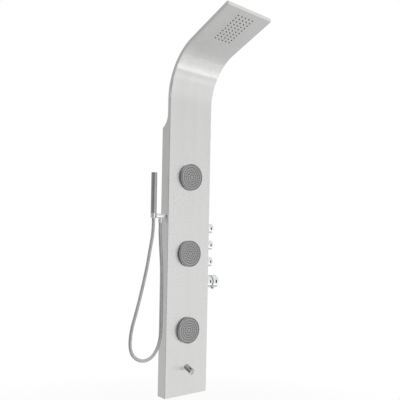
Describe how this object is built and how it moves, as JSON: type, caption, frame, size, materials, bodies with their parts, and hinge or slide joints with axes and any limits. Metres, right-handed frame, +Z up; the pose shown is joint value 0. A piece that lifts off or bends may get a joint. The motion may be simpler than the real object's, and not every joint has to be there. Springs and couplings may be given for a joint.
{
  "type": "shower panel column",
  "caption": "Wall-hung stainless shower column with bent rain head, tilting body jets, side valves and mixer, handset on a hose, and spout.",
  "frame": {"origin": "middle of the upper wall bracket's two slots, on the wall plane", "axes": "+X across the panel towards the valves, +Y into the wall, +Z up; the front faces -Y"},
  "size_m": [0.442, 0.4061, 1.5167],
  "materials": {
    "stainless_sheet": "satin",
    "stainless_fittings": "plain",
    "chrome": "polished",
    "jet_cover": "satin",
    "brass": "machined",
    "copper_pipe": "drawn",
    "silicone": "matte",
    "gasket_rubber": "matte",
    "moulded_plastic": "matte",
    "white_plastic": "satin",
    "button_plastic": "satin",
    "hose_cover": "satin"
  },
  "bodies": {
    "root": {"panel_shell": "stainless_sheet", "hanger_rails": "stainless_fittings", "wall_bracket_upper": "stainless_fittings", "wall_bracket_lower": "stainless_fittings", "rain_chamber": "moulded_plastic", "rain_nozzle_mat": "silicone", "rain_chamber_nuts": "stainless_fittings", "jet_1_socket": "moulded_plastic", "jet_2_socket": "moulded_plastic", "jet_3_socket": "moulded_plastic", "panel_gaskets": "gasket_rubber", "jet_nuts": "moulded_plastic", "fitting_nuts": "brass", "valve_body": "brass", "valve_saddles": "stainless_fittings", "valve_clamps": "stainless_fittings", "rain_headwork": "brass", "jets_headwork": "brass", "outlet_headwork": "brass", "mixer_cartridge": "moulded_plastic", "mixer_lock_nut": "brass", "mixer_sleeve": "chrome", "inlet_nipples": "brass", "inlet_filters": "stainless_fittings", "rain_pipe": "copper_pipe", "jets_pipe": "copper_pipe", "handset_pipe": "copper_pipe", "spout_pipe": "copper_pipe", "holder_arm": "chrome", "outlet_nut": "chrome", "outlet_washer": "gasket_rubber", "spout_body": "chrome", "spout_aerator": "stainless_fittings", "shower_hose": "hose_cover"},
    "jet_1_swivel": {"jet_1_seat": "white_plastic"},
    "jet_1_head": {"jet_1_ball": "moulded_plastic", "jet_1_face": "jet_cover", "jet_1_nozzles": "silicone"},
    "jet_2_swivel": {"jet_2_seat": "white_plastic"},
    "jet_2_head": {"jet_2_ball": "moulded_plastic", "jet_2_face": "jet_cover", "jet_2_nozzles": "silicone"},
    "jet_3_swivel": {"jet_3_seat": "white_plastic"},
    "jet_3_head": {"jet_3_ball": "moulded_plastic", "jet_3_face": "jet_cover", "jet_3_nozzles": "silicone"},
    "rain_control": {"rain_spindle": "brass", "rain_knob": "chrome"},
    "jets_control": {"jets_spindle": "brass", "jets_knob": "chrome"},
    "outlet_control": {"outlet_spindle": "brass", "outlet_knob": "chrome"},
    "mixer_control": {"mixer_spindle": "brass", "mixer_handle": "chrome"},
    "mixer_stop": {"mixer_button": "button_plastic"},
    "handset": {"handset_tube": "chrome", "handset_nozzles": "silicone", "handset_cap": "chrome", "hose_cone_nut": "chrome"}
  },
  "joints": [
    {"name": "jet_1_pan", "type": "hinge", "parent": "root", "child": "jet_1_swivel", "pos_m": [0, -0.045, -0.072], "axis": [0, 0, 1], "range_deg": [-5, 5]},
    {"name": "jet_1_tilt", "type": "hinge", "parent": "jet_1_swivel", "child": "jet_1_head", "pos_m": [0, -0.045, -0.072], "axis": [1, 0, 0], "range_deg": [-8, 2]},
    {"name": "jet_2_pan", "type": "hinge", "parent": "root", "child": "jet_2_swivel", "pos_m": [0, -0.045, -0.398], "axis": [0, 0, 1], "range_deg": [-5, 5]},
    {"name": "jet_2_tilt", "type": "hinge", "parent": "jet_2_swivel", "child": "jet_2_head", "pos_m": [0, -0.045, -0.398], "axis": [1, 0, 0], "range_deg": [-5, 5]},
    {"name": "jet_3_pan", "type": "hinge", "parent": "root", "child": "jet_3_swivel", "pos_m": [0, -0.045, -0.724], "axis": [0, 0, 1], "range_deg": [-5, 5]},
    {"name": "jet_3_tilt", "type": "hinge", "parent": "jet_3_swivel", "child": "jet_3_head", "pos_m": [0, -0.045, -0.724], "axis": [1, 0, 0], "range_deg": [-5, 5]},
    {"name": "rain_turn", "type": "hinge", "parent": "root", "child": "rain_control", "pos_m": [0.11, -0.0265, -0.285], "axis": [1, 0, 0], "range_deg": [0, 90]},
    {"name": "jets_turn", "type": "hinge", "parent": "root", "child": "jets_control", "pos_m": [0.11, -0.0265, -0.359], "axis": [1, 0, 0], "range_deg": [0, 90]},
    {"name": "outlet_turn", "type": "hinge", "parent": "root", "child": "outlet_control", "pos_m": [0.11, -0.0265, -0.433], "axis": [1, 0, 0], "range_deg": [-90, 90]},
    {"name": "mixer_turn", "type": "hinge", "parent": "root", "child": "mixer_control", "pos_m": [0.11, -0.0265, -0.521], "axis": [1, 0, 0], "range_deg": [-120, 60]},
    {"name": "stop_press", "type": "slide", "parent": "mixer_control", "child": "mixer_stop", "axis": [0, 0, 1], "range_m": [0, 0.003], "stiffness_N_per_m": 500, "springref_m": -0.002},
    {"name": "handset_lift", "type": "slide", "parent": "root", "child": "handset", "axis": [0, 0, 1], "range_m": [0, 0.06], "deforming": ["shower_hose"]}
  ]
}
